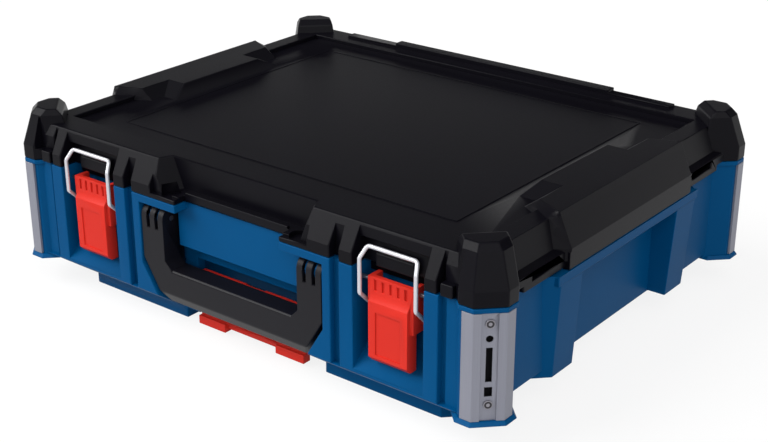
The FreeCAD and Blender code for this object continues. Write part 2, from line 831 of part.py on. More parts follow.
for sign in LEFT_AND_RIGHT.values():
    middle = size.latch_place * sign
    build_along(lid, middle - size.keeper_half, middle + size.keeper_half, [keeper])

# Front trough that takes the lock of a case stacked on top, with its lip and a round pocket at each end
trough_back = front + size.trough_depth


def trough_outline(spread):
    """Plan of the trough, its ends moved out by a spread."""
    front_half = size.trough_front_half + spread
    back_half = size.trough_back_half + spread
    return [
        (-front_half, front - size.overrun), (-front_half, front), (-back_half, trough_back),
        (back_half, trough_back), (front_half, front), (front_half, front - size.overrun),
    ]


trough = lid.newObject("PartDesign::SubtractiveLoft", "Trough")
trough.Profile = sketch(lid, "XY_Plane", size.trough_floor_level, [trough_outline(measure(0))])
trough.Sections = [sketch(lid, "XY_Plane", above, [trough_outline(size.trough_end_slope)])]
trough.Ruled = True
doc.recompute()
trough_shelf = box(
    -size.trough_shelf_half, size.trough_shelf_half,
    front - size.overrun, front + size.trough_shelf_depth,
)
sink(lid, above, size.trough_shelf_level, [trough_shelf])
trough_pocket = (size.trough_pocket_place, front + size.trough_pocket_depth, size.trough_pocket_radius)
mirror_pocket = (-size.trough_pocket_place, front + size.trough_pocket_depth, size.trough_pocket_radius)
sink(lid, size.trough_floor_level + size.overrun, size.trough_pocket_level, discs=[trough_pocket, mirror_pocket])
lip_front = front + size.trough_lip_depth
low_cut = box(-size.plate_rim_half, size.plate_rim_half, lid_foot - size.overrun, above)
cut_front(lid, front - size.overrun, lip_front, [low_cut])
lip = box(-size.trough_lip_half, size.trough_lip_half, lid_foot, size.trough_lip_level)
build_front(lid, lip_front, lip_front + size.trough_lip_thickness, [lip])

# Slots in the side skirts beside the rails, and the raised line round the deck
slot_end = size.side_slot_start + size.side_slot_length
side_slot = box(skirt_x - size.side_slot_depth, skirt_x + size.overrun, size.side_slot_start, slot_end)
slot_top = size.side_slot_foot + size.side_slot_height
sink(lid, slot_top, size.side_slot_foot, four_ways(side_slot))
line_x = size.frame_line_half_width
line_y = size.frame_line_half_depth
inner_line_x = line_x - size.frame_line_width
inner_line_y = line_y - size.frame_line_width
frame_line = [
    box(-line_x, line_x, -line_y, line_y),
    box(-inner_line_x, inner_line_x, -inner_line_y, inner_line_y),
]
raise_up(lid, size.deck_level, size.deck_level + size.frame_line_height, frame_line)

# Middle knuckles of the hinges
lid_knuckle_start = size.hinge_start + size.base_knuckle_length + size.hinge_gap
lid_web = box(-edge, hinge_y, lid_foot, size.seam_level + size.hinge_web)
for near in (lid_knuckle_start, -(lid_knuckle_start + size.lid_knuckle_length)):
    far = near + size.lid_knuckle_length
    build_along(lid, near, far, [lid_web])
    build_along(lid, near, far, discs=[(hinge_y, size.seam_level, size.knuckle_radius)])
    cut_along(lid, near, far, discs=[(hinge_y, size.seam_level, size.hinge_pin_radius + size.running_gap)])

# Carry handle: a black moulding with forked arms
handle = new_body("carry_handle")
handle_back = handle_front + size.handle_thickness
grip_top = size.grip_foot_level + size.grip_height
edge_in = size.grip_edge
grip_underside = [
    (handle_front, size.grip_foot_level + size.grip_toe_height),
    (handle_front + size.grip_toe_depth, size.grip_foot_level),
    (handle_back - edge_in, size.grip_foot_level), (handle_back, size.grip_foot_level + edge_in),
]
grip = grip_underside + [
    (handle_back, grip_top - edge_in), (handle_back - edge_in, grip_top),
    (handle_front + size.grip_top_edge, grip_top), (handle_front, grip_top - size.grip_top_edge),
]
build_along(handle, -size.handle_half, size.handle_half, [grip])
arm = grip_underside + [
    (handle_back, size.handle_knee_level), (handle_pin_y + size.knuckle_reach, size.handle_pin_level),
    (handle_front, size.handle_pin_level),
]
for near in (arm_inner, -size.handle_half):
    build_along(handle, near, near + size.arm_width, [arm])
    knuckle = (handle_pin_y, size.handle_pin_level, size.knuckle_reach)
    build_along(handle, near, near + size.arm_width, discs=[knuckle])
knee = [
    (arm_inner, grip_top - edge_in), (arm_inner - size.handle_inner_knee, grip_top - edge_in),
    (arm_inner - size.handle_inner_knee, grip_top), (arm_inner, grip_top + size.handle_inner_knee),
]
build_front(handle, handle_front, handle_back - edge_in, both_ways(knee))
corner = [
    (size.handle_half, size.handle_knee_level), (size.handle_low_half, size.grip_foot_level),
    (size.handle_low_half, -size.overrun), (size.handle_half + size.overrun, -size.overrun),
    (size.handle_half + size.overrun, size.handle_knee_level),
]
cut_front(handle, handle_front - size.overrun, handle_back + size.overrun, both_ways(corner))
fork_foot = size.handle_pin_level - size.fork_depth
fork_top = size.handle_pin_level + size.knuckle_reach + size.overrun
forks = [box(start, start + size.fork_width, fork_foot, fork_top) for start in fork_starts]
for fork in forks:
    cut_front(handle, handle_front - size.overrun, handle_back + size.overrun, both_ways(fork))
handle_bore = (handle_pin_y, size.handle_pin_level, size.handle_pin_radius + size.running_gap)
cut_along(handle, arm_inner, size.handle_half, discs=[handle_bore])
cut_along(handle, -size.handle_half, -arm_inner, discs=[handle_bore])

# Stacking lock: a red bar with two tabs at its foot, hung on its pin
lock = new_body("stack_lock")
lock_front = front + size.lock_depth
lock_back = lock_front + size.lock_thickness
tab = size.lock_half - size.lock_tab_length
tab_top = size.lock_foot_level + size.lock_tab_drop
lock_plate = [
    (-size.lock_half, size.lock_foot_level), (-tab, size.lock_foot_level), (-tab, tab_top),
    (tab, tab_top), (tab, size.lock_foot_level), (size.lock_half, size.lock_foot_level),
    (size.lock_half, size.lock_top_level), (-size.lock_half, size.lock_top_level),
]
build_front(lock, lock_front, lock_back, [lock_plate])
tab_front = lock_front - size.lock_tab_reach
tab_lip = box(tab, size.lock_half, size.lock_foot_level, size.lock_foot_level + size.lock_tab_height)
build_front(lock, tab_front, lock_back, both_ways(tab_lip))
lock_barrel = (lock_pin_y, size.lock_pin_level, size.lock_barrel_radius)
barrel_web = box(
    lock_back - size.lock_thickness / 2, lock_pin_y,
    size.lock_pin_level - size.lock_barrel_radius, size.lock_pin_level + size.lock_barrel_radius,
)
barrel_ends = (size.lock_barrel_gap_half, size.lock_half)
for near, far in (barrel_ends, (-size.lock_half, -size.lock_barrel_gap_half)):
    build_along(lock, near, far, [barrel_web])
    build_along(lock, near, far, discs=[lock_barrel])
lock_bore = (lock_pin_y, size.lock_pin_level, size.lock_pin_radius + size.running_gap)
cut_along(lock, -size.lock_half, size.lock_half, discs=[lock_bore])
spring_room = size.spring_radius + size.spring_wire_radius + size.seam_gap
spring_cut = (lock_pin_y, size.lock_pin_level, spring_room)
cut_along(lock, -size.lock_barrel_gap_half, size.lock_barrel_gap_half, discs=[spring_cut])

# Torsion spring of the stacking lock, wound on the middle of its pin
spring = new_body("stack_lock_spring", x=-size.spring_length / 2, y=lock_pin_y, z=size.lock_pin_level)
spring.Placement.Rotation = FreeCAD.Rotation(FreeCAD.Vector(0, 1, 0), FULL_TURN / 4)
coil = spring.newObject("PartDesign::AdditiveHelix", "Coil")
coil.Profile = sketch(spring, "XZ_Plane", 0, discs=[(size.spring_radius, 0, size.spring_wire_radius)])
coil.ReferenceAxis = (coil.Profile[0], ["V_Axis"])
coil.Mode = "pitch-height-angle"
bind(coil, "Pitch", size.spring_pitch)
bind(coil, "Height", size.spring_length)

# Latches: a red lever on its pin and a wire bail turning in the lever's ears
for hand, sign in LEFT_AND_RIGHT.items():
    lever = new_body(f"latch_lever_{hand}", x=size.latch_place * sign)
    pad_front = front + size.lever_pad_depth
    pad_back = pad_front + size.lever_pad_thickness
    head_front = front + size.lever_head_depth
    head_back = head_front + size.lever_head_thickness
    bevel = size.lever_foot_bevel
    lever_pad = [
        (pad_front, size.lever_foot_level + bevel), (pad_front + bevel, size.lever_foot_level),
        (pad_back, size.lever_foot_level), (pad_back, size.lever_step_level),
        (head_front, size.lever_step_level), (pad_front, size.lever_step_level - bevel),
    ]
    build_along(lever, -size.lever_pad_half, size.lever_pad_half, [lever_pad])
    head_foot = size.bail_pin_level - size.lever_ear_round
    head = box(-size.lever_half, size.lever_half, head_foot, size.lever_top_level)
    build_front(lever, head_front, head_back, [head])
    ear = [
        (head_front, size.lever_top_level), (head_front, head_foot), (bail_pin_y, head_foot),
        (bail_pin_y + size.lever_ear_round, size.bail_pin_level),
        (latch_pin_y + size.lever_ear_round, size.latch_pin_level),
        (latch_pin_y + size.lever_ear_round, size.lever_top_level),
    ]
    for near in (size.lever_half - size.lever_ear, -size.lever_half):
        build_along(lever, near, near + size.lever_ear, [ear])
    hollow_half = size.lever_pad_half - size.lever_skin
    hollow_foot = size.lever_foot_level + size.lever_skin
    hollow_top = size.lever_step_level - size.lever_skin
    hollow = box(-hollow_half, hollow_half, hollow_foot, hollow_top)
    cut_front(lever, pad_front + size.lever_skin, pad_back + size.overrun, [hollow])
    dent = box(-size.lever_dent_half, size.lever_dent_half, size.lever_dent_foot, size.lever_dent_top)
    cut_front(lever, pad_front - size.overrun, pad_front + size.lever_dent_depth, [dent])
    half_groove = size.lever_groove_width / 2
    lever_grooves = [
        box(
            size.lever_groove_pitch * place - half_groove, size.lever_groove_pitch * place + half_groove,
            size.lever_groove_foot, size.lever_groove_top,
        )
        for place in LEVER_GROOVE_PLACES
    ]
    cut_front(lever, head_front - size.overrun, head_front + size.lever_groove_depth, lever_grooves)
    lever_bore = (latch_pin_y, size.latch_pin_level, size.latch_pin_radius + size.running_gap)
    bail_bore = (bail_pin_y, size.bail_pin_level, size.bail_wire_radius + size.running_gap)
    cut_along(lever, -size.lever_half, size.lever_half, discs=[lever_bore, bail_bore])


def point(x, y, z):
    """A place from three measures."""
    return FreeCAD.Vector(measure(x).value, measure(y).value, measure(z).value)


def bent_wire(corners, radii, wire_radius):
    """A round wire through straight runs, its inner corners bent to the given radii."""
    edges = []
    start = corners[0]
    for before, corner, after, radius in zip(corners, corners[1:], corners[2:], radii):
        back = (before - corner).normalize()
        ahead = (after - corner).normalize()
        half_angle = back.getAngle(ahead) / 2
        middle = (back + ahead).normalize()
        centre_distance = radius / FreeCAD.Vector(back).cross(middle).Length
        tangent = centre_distance * back.dot(middle)
        bend = Part.Arc(
            corner + back * tangent, corner + middle * (centre_distance - radius), corner + ahead * tangent,
        )
        edges.append(Part.LineSegment(start, corner + back * tangent).toShape())
        edges.append(bend.toShape())
        start = corner + ahead * tangent
    edges.append(Part.LineSegment(start, corners[-1]).toShape())
    path = Part.Wire(edges)
    section = Part.Wire(Part.Circle(corners[0], corners[1] - corners[0], wire_radius).toShape())
    return path.makePipeShell([section], True, False)


# Wire bails: each starts in the left ear, runs over the bar and ends in the right ear
leg_y = front + size.bail_leg_depth
bar_y = front + size.bail_bar_depth
bar_half = size.bail_half - size.bail_corner
for hand, sign in LEFT_AND_RIGHT.items():
    half_bail = [
        (size.bail_end_half, bail_pin_y, size.bail_pin_level),
        (size.bail_half, bail_pin_y, size.bail_pin_level),
        (size.bail_half, leg_y, size.bail_kink_level), (size.bail_half, leg_y, size.bail_lean_level),
        (bar_half, bar_y, size.bail_bar_level),
    ]
    corners = [point(-x, y, z) for x, y, z in half_bail]
    corners += [point(x, y, z) for x, y, z in reversed(half_bail)]
    radii = [size.bail_bend.value] * (len(corners) - 2)
    bail = doc.addObject("Part::Feature", f"latch_bail_{hand}")
    bail.Shape = bent_wire(corners, radii, size.bail_wire_radius.value)
    seat(bail, f"latch_bail_{hand}", x=size.latch_place * sign)

# Corner guards: extruded metal angles with a sunk middle channel, modelled facing the front
half_chamfer = size.column_chamfer / ROOT_TWO
flange = size.trim_flange / ROOT_TWO
flange_in = size.trim_thickness / ROOT_TWO
turn_in = size.trim_thickness * (ROOT_TWO - 1)
guard_side = [
    (size.trim_channel_half, size.trim_channel_depth), (size.trim_channel_half, measure(0)),
    (half_chamfer, measure(0)), (half_chamfer + flange, flange),
    (half_chamfer + flange - flange_in, flange + flange_in), (half_chamfer - turn_in, size.trim_thickness),
]
guard = guard_side + [(-x, y) for x, y in reversed(guard_side)]
guard_corners = {
    "front_right": (1, -1, 45),
    "rear_right": (1, 1, 135),
    "rear_left": (-1, 1, 225),
    "front_left": (-1, -1, 315),
}
channel_hole = (measure(0), trim_top - size.trim_hole_drop, size.trim_hole_radius)
slot_high = trim_top - size.trim_slot_drop
square_high = trim_top - size.trim_square_drop
guard_slots = [
    box(-size.trim_slot_half, size.trim_slot_half, slot_high - size.trim_slot_length, slot_high),
    box(-size.trim_square_half, size.trim_square_half, square_high - size.trim_square_height, square_high),
]
screw_levels = [trim_top - size.screw_drop, trim_foot + size.screw_rise]
screw_holes = [(measure(0), level, size.screw_radius + size.pin_seat_gap) for level in screw_levels]
screws = []
for corner_name, (x_sign, y_sign, turn) in guard_corners.items():
    label = f"corner_trim_{corner_name}"
    trim = new_body(label, x=well_x * x_sign, y=well_y * y_sign, turn=turn)
    raise_up(trim, trim_foot, trim_top, [guard])
    trim_back = size.trim_thickness + size.overrun
    cut_front(trim, -size.overrun, trim_back, guard_slots, [channel_hole] + screw_holes)
    for level in screw_levels:
        head = doc.addObject("Part::Cylinder", "ScrewHead")
        bind(head, "Radius", size.screw_head_radius)
        bind(head, "Height", size.screw_head_height)
        shank = doc.addObject("Part::Cylinder", "ScrewShank")
        bind(shank, "Radius", size.screw_radius)
        bind(shank, "Height", size.screw_length)
        screw = doc.addObject("Part::Fuse", "Screw")
        screw.Base = head
        screw.Tool = shank
        inwards = FreeCAD.Vector(-x_sign, -y_sign, 0)
        facing = FreeCAD.Rotation(FreeCAD.Vector(0, 0, 1), inwards)
        screw.Placement.Rotation = facing
        head_sink = (size.trim_channel_depth - size.screw_head_height) / ROOT_TWO
        bind(screw, "Placement.Base.x", (well_x - head_sink) * x_sign)
        bind(screw, "Placement.Base.y", (well_y - head_sink) * y_sign)
        bind(screw, "Placement.Base.z", level)
        screws.append(screw)
screw_set = doc.addObject("Part::Compound", "trim_screws")
screw_set.Links = screws
seat(screw_set, "trim_screws")

# Steel pins
for hand, sign in LEFT_AND_RIGHT.items():
    for name, (start, end, y, z, radius) in zip(("latch", "handle", "hinge"), pin_bores):
        if sign < 0:
            start, end = -end, -start
        pin(f"{name}_pin_{hand}", start, end, y, z, radius)
pin("stack_lock_pin", -lock_pin_end, lock_pin_end, lock_pin_y, size.lock_pin_level, size.lock_pin_radius)

# Every object is sound before any file is written
doc.recompute()
for thing in doc.Objects:
    if "Invalid" in thing.State or "Error" in thing.State:
        raise RuntimeError(f"{thing.Name} failed to rebuild")
os.makedirs("parts", exist_ok=True)
for piece in pieces:
    if piece.Shape.isNull() or not piece.Shape.isValid():
        raise RuntimeError(f"{piece.Label} has no sound shape")
    piece.Shape.exportStep(f"parts/{piece.Label}.step")
    bounds = piece.Shape.BoundBox
    print(f"{piece.Label}: {len(piece.Shape.Solids)} solid, {piece.Shape.Volume:.0f} mm3, "
          f"x {bounds.XMin:.1f} to {bounds.XMax:.1f}, y {bounds.YMin:.1f} to {bounds.YMax:.1f}, "
          f"z {bounds.ZMin:.1f} to {bounds.ZMax:.1f}")
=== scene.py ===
import json
import math

import bmesh
import bpy
import numpy as np
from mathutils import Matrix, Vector


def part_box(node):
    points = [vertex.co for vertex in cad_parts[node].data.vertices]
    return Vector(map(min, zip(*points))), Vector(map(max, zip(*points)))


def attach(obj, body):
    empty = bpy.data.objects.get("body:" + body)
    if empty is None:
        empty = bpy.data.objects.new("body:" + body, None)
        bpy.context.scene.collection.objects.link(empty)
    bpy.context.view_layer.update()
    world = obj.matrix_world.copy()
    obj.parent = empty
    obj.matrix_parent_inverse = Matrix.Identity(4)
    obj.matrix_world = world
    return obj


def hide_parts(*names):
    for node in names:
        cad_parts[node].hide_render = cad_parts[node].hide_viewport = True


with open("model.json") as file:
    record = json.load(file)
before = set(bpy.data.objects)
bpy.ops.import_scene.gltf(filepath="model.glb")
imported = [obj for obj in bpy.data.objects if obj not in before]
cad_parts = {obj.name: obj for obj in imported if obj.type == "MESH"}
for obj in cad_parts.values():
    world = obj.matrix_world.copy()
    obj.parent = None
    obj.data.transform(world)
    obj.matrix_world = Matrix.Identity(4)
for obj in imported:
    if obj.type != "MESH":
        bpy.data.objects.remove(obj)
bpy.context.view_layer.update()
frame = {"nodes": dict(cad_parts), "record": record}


# Base shell: the blue tub with its corner columns, ribs, grip recesses and feet.
# It is one injection moulding in polypropylene, from a mould whose faces were spark-eroded to a fine matt
# grain. Everything else is pinned, screwed or hinged to it.
MM = 0.001
MELT_FLOW = 70 * MM
GRAIN_STRENGTH = 0.35
GRAIN_ROUGHNESS_SWING = 0.06
POLYMER_IOR = 1.49
WELD_GAP = 0.002 * MM
PANEL_ANGLE = math.radians(1)
OUTER_EDGE_ANGLE = math.radians(30)
EDGE_ROOM_SHARE = 0.3
EDGE_STEPS = 2
TUB_EDGE_MM = 0.7
MOULDING_CREASE_DEG = 6


def linear(hex_colour):
    """An sRGB hex colour as linear red, green, blue and full alpha."""
    share = np.array([int(hex_colour[i:i + 2], 16) for i in (1, 3, 5)]) / 255
    return (*np.where(share <= 0.04045, share / 12.92, ((share + 0.055) / 1.055) ** 2.4), 1.0)


def add_node(tree, kind, settings=None, sockets=None):
    """One shader node with its settings. A socket takes a value, or the output that feeds it."""
    node = tree.nodes.new(kind)
    for name, value in (settings or {}).items():
        setattr(node, name, value)
    for name, value in (sockets or {}).items():
        if isinstance(value, bpy.types.NodeSocket):
            tree.links.new(value, node.inputs[name])
        else:
            node.inputs[name].default_value = value
    return node


def blank_material(name):
    """A new material and its empty node tree."""
    material = bpy.data.materials.new(name)
    material.use_nodes = True
    material.node_tree.nodes.clear()
    return material, material.node_tree


def moulded_plastic(name, tone, deep_tone, roughness, gloss, grain_mm, grain_depth_mm):
    """A moulded plastic: its matt grain breaks up the highlight, and its tone drifts slightly with the flow
    of the melt. The real grain is about 0.2 mm across, and it is drawn coarser so that it shows."""
    material, tree = blank_material(name)
    place = add_node(tree, "ShaderNodeTexCoord").outputs["Object"]
    flow = add_node(tree, "ShaderNodeTexNoise", None, {
        "Vector": place, "Scale": 1 / MELT_FLOW, "Detail": 3.0})
    drift = add_node(tree, "ShaderNodeMix", {"data_type": "RGBA"}, {
        "Factor": flow.outputs["Fac"], "A": linear(deep_tone), "B": linear(tone)})
    grain = add_node(tree, "ShaderNodeTexNoise", None, {
        "Vector": place, "Scale": 1 / (grain_mm * MM), "Detail": 2.0, "Roughness": 0.6})
    spread = add_node(tree, "ShaderNodeMapRange", None, {
        "Value": grain.outputs["Fac"],
        "To Min": roughness - GRAIN_ROUGHNESS_SWING, "To Max": roughness + GRAIN_ROUGHNESS_SWING})
    bump = add_node(tree, "ShaderNodeBump", None, {
        "Height": grain.outputs["Fac"], "Strength": GRAIN_STRENGTH, "Distance": grain_depth_mm * MM})
    surface = add_node(tree, "ShaderNodeBsdfPrincipled", None, {
        "Base Color": drift.outputs["Result"], "Roughness": spread.outputs["Result"],
        "IOR": POLYMER_IOR, "Specular IOR Level": gloss, "Normal": bump.outputs["Normal"]})
    add_node(tree, "ShaderNodeOutputMaterial", None, {"Surface": surface.outputs["BSDF"]})
    return material


def add_piece(mesh, material, body):
    """A piece at the origin, of one material, which rides on a body."""
    mesh.materials.append(material)
    piece = bpy.data.objects.new(mesh.name, mesh)
    bpy.context.collection.objects.link(piece)
    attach(piece, body)
    return piece


def dressed(node, body, material, edge_mm, crease_deg=30):
    """The CAD solid's own faces, merged into plain panels, with the small rounding that its making leaves on
    each outer edge. The rounding is narrower where the edges beside it are short. It stands for the
    CAD node."""
    shape = bmesh.new()
    shape.from_mesh(frame["nodes"][node].data)
    bmesh.ops.remove_doubles(shape, verts=shape.verts, dist=WELD_GAP)
    bmesh.ops.dissolve_limit(shape, angle_limit=PANEL_ANGLE, verts=shape.verts, edges=shape.edges)
    rounding_share = shape.edges.layers.float.new("bevel_weight_edge")
    for edge in shape.edges:
        if edge_mm and edge.calc_face_angle_signed(0) > OUTER_EDGE_ANGLE:
            beside = [other for end in edge.verts for other in end.link_edges if other is not edge]
            room = EDGE_ROOM_SHARE * min(other.calc_length() for other in beside)
            edge[rounding_share] = min(1.0, room / (edge_mm * MM))
    mesh = bpy.data.meshes.new(f"{node}_form")
    shape.to_mesh(mesh)
    shape.free()
    mesh.shade_smooth()
    mesh.set_sharp_from_angle(angle=math.radians(crease_deg))
    piece = add_piece(mesh, material, body)
    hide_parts(node)
    if edge_mm:
        rounding = piece.modifiers.new("edges", "BEVEL")
        rounding.width = edge_mm * MM
        rounding.segments = EDGE_STEPS
        rounding.limit_method = "WEIGHT"
        rounding.use_clamp_overlap = False
        rounding.harden_normals = True


# Spark-eroded polypropylene gives a deep, even blue with a soft, weak highlight.
blue_polypropylene = moulded_plastic(
    "blue_polypropylene_moulding", "#004f82", "#004675", roughness=0.45, gloss=0.06, grain_mm=1.6,
    grain_depth_mm=0.03)
dressed("base_shell", "base", blue_polypropylene, TUB_EDGE_MM, MOULDING_CREASE_DEG)


# Corner guards: four extruded aluminium angles in a satin anodised finish, with a sunk middle channel.
# Each is cut to length, punched and screwed to the shaft of its column.
CORNERS = {"front_left": (-1, -1), "front_right": (1, -1), "rear_left": (-1, 1), "rear_right": (1, 1)}
GUARD_EDGE_MM = 0.25
LINE_STRETCH_SHARE = 0.02
LINE_ROUGHNESS_DIP = 0.05
LINE_ROUGHNESS_RISE = 0.08


def drawn_metal(name, tone, line_tone, roughness, line_mm, metallic):
    """A drawn or extruded metal: faint lines run along it from the die, so its highlight is drawn out
    across them. The real lines are hair-fine, and they are drawn wider so that they show."""
    material, tree = blank_material(name)
    place = add_node(tree, "ShaderNodeTexCoord").outputs["Object"]
    across = add_node(tree, "ShaderNodeMapping", None, {
        "Vector": place, "Scale": (1.0, 1.0, LINE_STRETCH_SHARE)})
    lines = add_node(tree, "ShaderNodeTexNoise", None, {
        "Vector": across.outputs["Vector"], "Scale": 1 / (line_mm * MM), "Detail": 3.0})
    tint = add_node(tree, "ShaderNodeMix", {"data_type": "RGBA"}, {
        "Factor": lines.outputs["Fac"], "A": linear(line_tone), "B": linear(tone)})
    spread = add_node(tree, "ShaderNodeMapRange", None, {
        "Value": lines.outputs["Fac"],
        "To Min": roughness - LINE_ROUGHNESS_DIP, "To Max": roughness + LINE_ROUGHNESS_RISE})
    surface = add_node(tree, "ShaderNodeBsdfPrincipled", None, {
        "Base Color": tint.outputs["Result"], "Metallic": metallic, "Roughness": spread.outputs["Result"]})
    add_node(tree, "ShaderNodeOutputMaterial", None, {"Surface": surface.outputs["BSDF"]})
    return material


# Satin anodising clouds the metal, so it is half a mirror and half a soft grey.
satin_aluminium = drawn_metal(
    "satin_anodised_aluminium", "#8d8f9a", "#82838f", roughness=0.5, line_mm=0.9, metallic=0.4)
for corner in CORNERS:
    dressed(f"corner_trim_{corner}", "base", satin_aluminium, GUARD_EDGE_MM)


# Well shade: a black sheet behind each guard, painted shade that makes the guard's openings show dark.
# It lies in the well of the column, behind the guard.
STRIP_HALF_WIDTH = 3.8 * MM
STRIP_MARGIN = 11.5 * MM
STRIP_SETBACK = 4 * MM
STRIP_THICKNESS = 0.8 * MM
CHAMFER_HALF = 7.5 * MM


def sheet_mesh(name, grid, wrapped=False):
    """A grid of points, rows by columns, as a mesh with a four-sided face in each cell. Where it is wrapped,
    the last row and column join the first."""
    rows, columns = grid.shape[:2]
    index = np.arange(rows * columns).reshape(rows, columns)
    if wrapped:
        index = np.pad(index, ((0, 1), (0, 1)), mode="wrap")
    faces = np.stack([index[:-1, :-1], index[:-1, 1:], index[1:, 1:], index[1:, :-1]], axis=-1)
    mesh = bpy.data.meshes.new(name)
    mesh.from_pydata(grid.reshape(-1, 3).tolist(), [], faces.reshape(-1, 4).tolist())
    return mesh


def well_shade_strip(name, chamfer_middle, inward, low, high):
    """A flat strip across the corner's diagonal: columns run along the guard's face and rows run up."""
    across, up = np.meshgrid(np.linspace(-STRIP_HALF_WIDTH, STRIP_HALF_WIDTH, 5), np.linspace(low, high, 13))
    along = np.array([inward[1], -inward[0]])
    spots = chamfer_middle + inward * STRIP_SETBACK + across[..., None] * along
    return sheet_mesh(name, np.concatenate([spots, up[..., None]], axis=-1))


# Painted shade: nearly black, with hardly any shine, for the shade deep in the column's well.
well_shade_paint = moulded_plastic(
    "painted_well_shade", "#07070a", "#050507", roughness=0.8, gloss=0.1, grain_mm=0.8, grain_depth_mm=0.02)
for corner, signs in CORNERS.items():
    low, high = (np.array(end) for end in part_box(f"corner_trim_{corner}"))
    outward = np.array(signs)
    outer = np.where(outward > 0, high[:2], low[:2])
    strip_mesh = well_shade_strip(
        f"guard_well_shade_{corner}", outer - outward * CHAMFER_HALF, -outward / math.sqrt(2),
        low[2] + STRIP_MARGIN, high[2] - STRIP_MARGIN)
    # The sheet is painted shade in the well, which is dark only from shade on the real case.
    strip = add_piece(strip_mesh, well_shade_paint, "base")
    strip.modifiers.new("thickness", "SOLIDIFY").thickness = STRIP_THICKNESS


# Guard screws: pan-head steel screws, two to each guard.
# They are cold-headed and zinc plated, and sit in the sunk channel.
SCREW_EDGE_MM = 0.2

# Zinc plating is a grey mirror, blurred a little.
zinc_steel = drawn_metal("zinc_plated_steel", "#9a989f", "#7d7b82", roughness=0.4, line_mm=0.6, metallic=1.0)
dressed("trim_screws", "base", zinc_steel, SCREW_EDGE_MM)


# Screw drives: the ring-shaped drive that is punched in each screw's head, round a pin that stays bright.
# Its dark is painted shade, the shade inside the sunk drive. It is drawn as a shallow dark bead on the head,
# because it is too small to look into.
DRIVE_RADIUS = 1.8 * MM
DRIVE_HALF_WIDTH = 0.6 * MM
DRIVE_HALF_HEIGHT = 0.15 * MM
HEAD_FLATNESS = 0.02 * MM


def drive_ring(name, centre, facing):
    """A flattened torus on a screw's head: one angle runs round the head, and the other runs round the bead's
    oval section."""
    turn, section = np.meshgrid(np.linspace(0, 2 * np.pi, 32, endpoint=False),
                                np.linspace(0, 2 * np.pi, 8, endpoint=False))
    upright = np.array([0.0, 0.0, 1.0])
    side = np.cross(upright, facing)
    reach = DRIVE_RADIUS + DRIVE_HALF_WIDTH * np.cos(section)
    grid = (centre + (reach * np.cos(turn))[..., None] * side + (reach * np.sin(turn))[..., None] * upright
            + (DRIVE_HALF_HEIGHT * np.sin(section))[..., None] * facing)
    mesh = sheet_mesh(name, grid, wrapped=True)
    mesh.shade_smooth()
    return mesh


# Painted shade: this dark steel colour stands for the shade inside the sunk drive.
drive_shade_paint = drawn_metal(
    "painted_drive_shade", "#2c2b30", "#232227", roughness=0.5, line_mm=0.6, metallic=0.3)
screw_mesh = frame["nodes"]["trim_screws"].data
screw_points = np.empty(3 * len(screw_mesh.vertices))
screw_mesh.vertices.foreach_get("co", screw_points)
screw_points = screw_points.reshape(-1, 3)
screw_middle = (screw_points.min(axis=0) + screw_points.max(axis=0)) / 2
for corner, signs in CORNERS.items():
    facing = np.array([*signs, 0]) / math.sqrt(2)
    for level, z_sign in (("lower", -1), ("upper", 1)):
        on_this_side = (screw_points - screw_middle) * np.array([*signs, z_sign]) > 0
        one_screw = screw_points[np.all(on_this_side, axis=1)]
        reach = one_screw @ facing
        head_face = one_screw[reach > reach.max() - HEAD_FLATNESS]
        centre = (head_face.min(axis=0) + head_face.max(axis=0)) / 2
        # Each ring is painted shade for its screw's drive recess.
        add_piece(drive_ring(f"screw_drive_{corner}_{level}", centre, facing), drive_shade_paint, "base")


# Pins and spring: plain steel rods for the hinges, the latches, the handle and the stacking lock.
# The rods are cut from drawn bar and pressed into the tub. The spring is wound from wire on the lock's pin.
for pin in ("hinge_pin_left", "hinge_pin_right", "latch_pin_left", "latch_pin_right",
            "handle_pin_left", "handle_pin_right", "stack_lock_pin", "stack_lock_spring"):
    dressed(pin, "base", zinc_steel, 0)


# Lid shell: the black lid with its corner posts, side rails, latch keepers and front trough.
# It is moulded in glass-filled polypropylene and hinged on two pins at the back.
LID_EDGE_MM = 1.0

# Glass-filled polypropylene is black, with a weak sheen that shows on the flat deck at a low angle.
black_polypropylene = moulded_plastic(
    "black_polypropylene_moulding", "#0b0a11", "#08070c", roughness=0.34, gloss=0.09, grain_mm=1.6,
    grain_depth_mm=0.02)
dressed("lid_shell", "lid", black_polypropylene, LID_EDGE_MM, MOULDING_CREASE_DEG)


# Latch bay laps: thin tongues of the lid that hang behind the levers and cover the tub's edge there.
# They are part of the lid's moulding, in the same plastic, and lift with it.
LAP_THICKNESS = 1.4 * MM
LAP_HALF_WIDTH = 27.4 * MM
LAP_FRONT = -154.6 * MM
LAP_FOOT = 93 * MM
LAP_TOP = 103 * MM


def bay_lap(name, middle):
    """A flat upright sheet that faces the front: columns run along X and rows run up Z."""
    across, up = np.meshgrid(np.linspace(middle - LAP_HALF_WIDTH, middle + LAP_HALF_WIDTH, 9),
                             np.linspace(LAP_FOOT, LAP_TOP, 5))
    return sheet_mesh(name, np.stack([across, np.full_like(across, LAP_FRONT), up], axis=-1))


for joint in frame["record"]["behaviour"]["joints"]:
    if joint["name"].endswith("lever_swing"):
        lap = add_piece(bay_lap(f"bay_lap_{joint['child']}", joint["pos_m"][0]), black_polypropylene,
                        "lid")
        lap.modifiers.new("thickness", "SOLIDIFY").thickness = LAP_THICKNESS


# Carry handle: a black moulding that folds against the front on two short pins.
# Its arms end in forks that straddle prongs of the tub.
HANDLE_EDGE_MM = 1.2

# The handle's plastic is a little greyer than the lid's, with a finer grain.
black_handle = moulded_plastic(
    "black_handle_moulding", "#100f16", "#0c0b11", roughness=0.45, gloss=0.2, grain_mm=1.4,
    grain_depth_mm=0.03)
dressed("carry_handle", "handle", black_handle, HANDLE_EDGE_MM)


